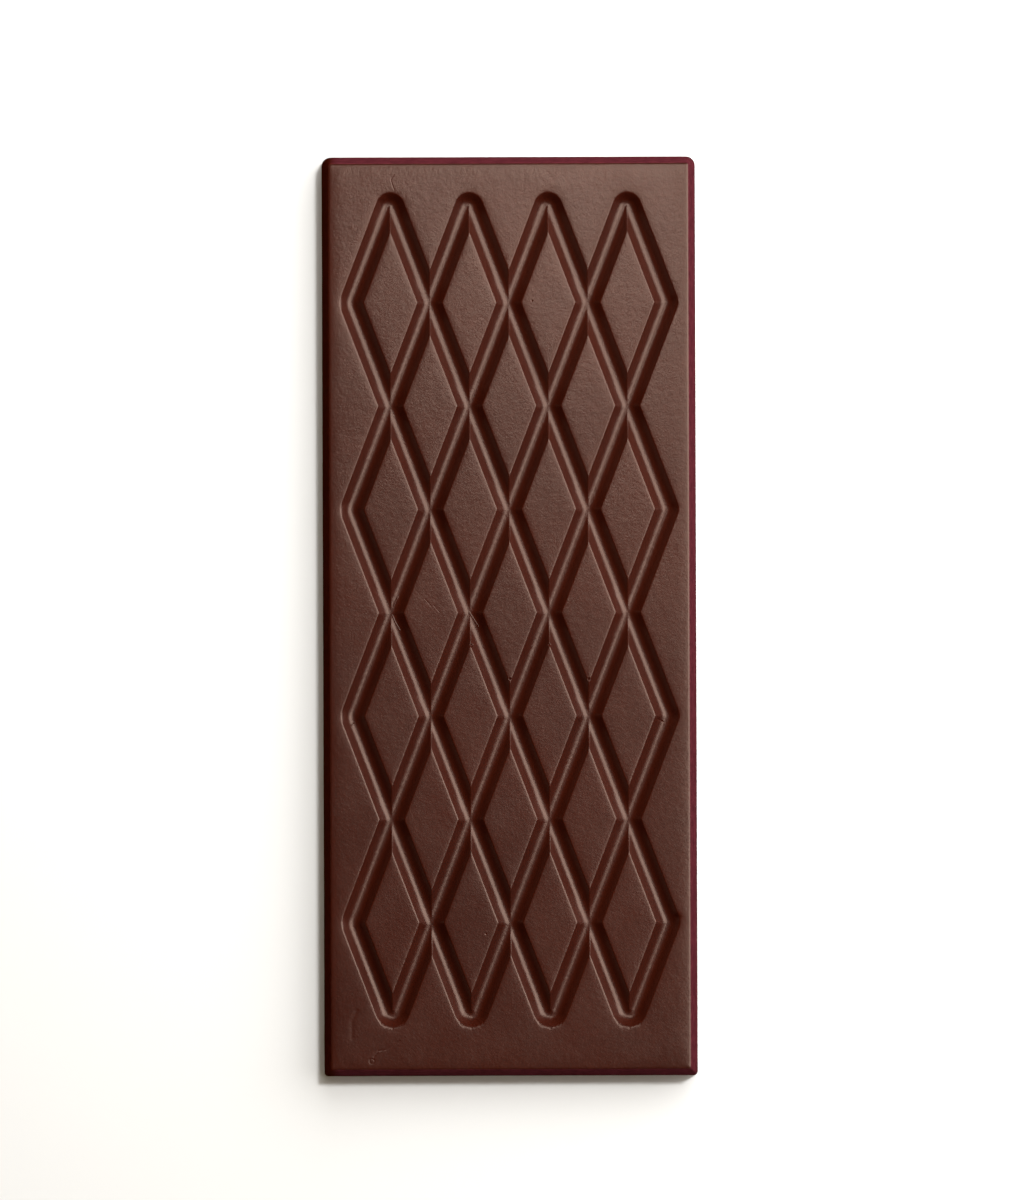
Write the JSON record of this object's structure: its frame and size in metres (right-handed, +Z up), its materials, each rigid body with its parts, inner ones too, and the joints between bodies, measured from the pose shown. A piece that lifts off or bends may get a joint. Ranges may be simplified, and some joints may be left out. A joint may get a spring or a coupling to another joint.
{
  "type": "chocolate bar",
  "caption": "Slim rectangular bar of dark chocolate with leaning sides, a flat back, and a patterned face of crossing round-bottomed grooves that mark out tall diamonds.",
  "frame": {"origin": "centre of the flat back, on the surface that the bar lies on", "axes": "+Z up out of the patterned face, +Y along the bar towards its head end, +X to the right"},
  "size_m": [0.065, 0.16, 0.008],
  "materials": {
    "chocolate": "satin, dark brown, faintly speckled"
  },
  "bodies": {
    "root": {"chocolate_bar": "chocolate"}
  },
  "joints": []
}
